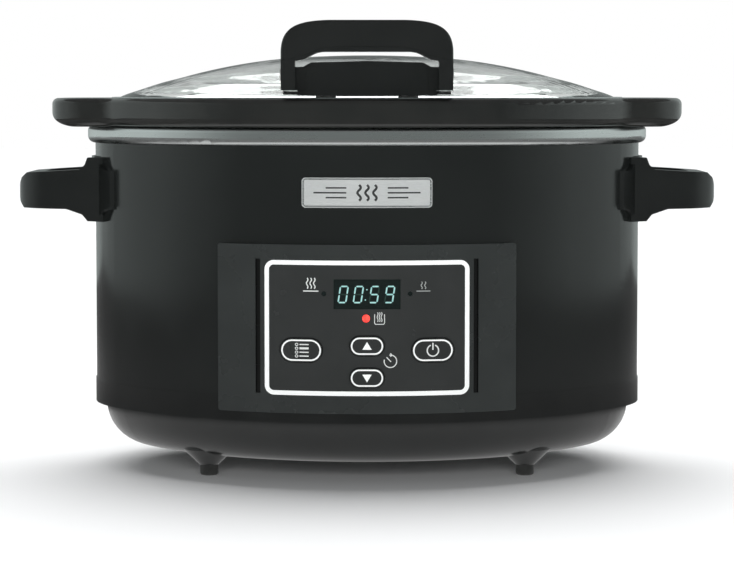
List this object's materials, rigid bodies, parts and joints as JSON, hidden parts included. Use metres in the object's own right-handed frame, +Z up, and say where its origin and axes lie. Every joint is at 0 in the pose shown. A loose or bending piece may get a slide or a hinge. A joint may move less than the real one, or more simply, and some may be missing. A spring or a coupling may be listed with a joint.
{
  "type": "slow cooker",
  "caption": "Oval electric slow cooker with a digital panel, lift-out glazed stoneware bowl, side handles and a rear-hinged glass lid.",
  "frame": {"origin": "middle of the whole object at the level of the feet", "axes": "+X to the right as seen from the front, +Y from the front panel to the hinge, +Z up"},
  "size_m": [0.3964, 0.2734, 0.251],
  "materials": {
    "black_steel": "satin black",
    "silver_trim": "polished silver",
    "bare_aluminium": "rolled",
    "band_steel": "rolled",
    "zinc_screw": "zinc plated",
    "glass_wool": "woven",
    "black_gloss_plastic": "gloss",
    "black_matte_plastic": "fine grain",
    "rubber": "matte",
    "panel_plastic": "satin",
    "overlay_film": "satin film",
    "white_ink": "printed",
    "smoked_window": "gloss",
    "display_resin": "gloss",
    "circuit_board": "solder mask",
    "red_lens": "clear red",
    "brushed_plate": "brushed",
    "connector_plastic": "moulded",
    "red_lead": "sleeved",
    "grey_lead": "sleeved",
    "black_glaze": "glossy glaze",
    "pin_steel": "polished",
    "clear_glass": "tempered",
    "silicone": "matte",
    "button_plastic": "satin"
  },
  "bodies": {
    "base": {"outer_shell": "black_steel", "collar_ring": "silver_trim", "heating_well": "bare_aluminium", "heater_band": "band_steel", "band_clamp_screw": "zinc_screw", "insulation_sleeve": "glass_wool", "heat_shield": "bare_aluminium", "centre_stud": "zinc_screw", "centre_nut": "zinc_screw", "base_skirt": "black_gloss_plastic", "base_pan": "black_matte_plastic", "base_screws": "zinc_screw", "rubber_feet": "rubber", "side_handle_left": "black_matte_plastic", "side_handle_right": "black_matte_plastic", "side_handle_screws": "zinc_screw", "control_bezel": "panel_plastic", "panel_overlay": "overlay_film", "panel_outline": "white_ink", "display_window": "smoked_window", "display_module": "display_resin", "display_board": "circuit_board", "display_board_screws": "zinc_screw", "indicator_lenses": "smoked_window", "ready_lens": "red_lens", "tact_switches": "display_resin", "nameplate": "brushed_plate", "main_board": "circuit_board", "main_board_screws": "zinc_screw", "transformer": "band_steel", "relay": "display_resin", "capacitors": "display_resin", "terminal_block": "connector_plastic", "temperature_sensor": "bare_aluminium", "sensor_spring": "band_steel", "thermal_fuse": "bare_aluminium", "heater_leads": "red_lead", "ribbon_cable": "grey_lead", "sensor_leads": "grey_lead", "cord_gland": "black_matte_plastic", "gland_nut": "black_matte_plastic"},
    "bowl": {"stoneware_bowl": "black_glaze", "hinge_bracket": "black_matte_plastic", "hinge_bracket_screws": "zinc_screw", "hinge_pin": "pin_steel"},
    "lid": {"glass_lid": "clear_glass", "lid_rim_band": "pin_steel", "handle_base": "black_matte_plastic", "lid_handle": "black_gloss_plastic", "handle_side_screws": "zinc_screw", "lid_screws": "zinc_screw", "lid_washers": "silicone", "hinge_arm": "black_matte_plastic"},
    "button_mode": {"button_mode": "button_plastic"},
    "button_up": {"button_up": "button_plastic"},
    "button_down": {"button_down": "button_plastic"},
    "button_power": {"button_power": "button_plastic"}
  },
  "joints": [
    {"name": "bowl_lift", "type": "slide", "parent": "base", "child": "bowl", "axis": [0, 0, 1], "range_m": [0, 0.17]},
    {"name": "lid_hinge", "type": "hinge", "parent": "bowl", "child": "lid", "pos_m": [0, 0.13025, 0.2195], "axis": [-1, 0, 0], "range_deg": [0, 95]},
    {"name": "button_mode_press", "type": "slide", "parent": "base", "child": "button_mode", "axis": [0, 1, 0], "range_m": [0, 0.0008], "stiffness_N_per_m": 800, "springref_m": -0.0006},
    {"name": "button_up_press", "type": "slide", "parent": "base", "child": "button_up", "axis": [0, 1, 0], "range_m": [0, 0.0008], "stiffness_N_per_m": 800, "springref_m": -0.0006},
    {"name": "button_down_press", "type": "slide", "parent": "base", "child": "button_down", "axis": [0, 1, 0], "range_m": [0, 0.0008], "stiffness_N_per_m": 800, "springref_m": -0.0006},
    {"name": "button_power_press", "type": "slide", "parent": "base", "child": "button_power", "axis": [0, 1, 0], "range_m": [0, 0.0008], "stiffness_N_per_m": 800, "springref_m": -0.0006}
  ]
}
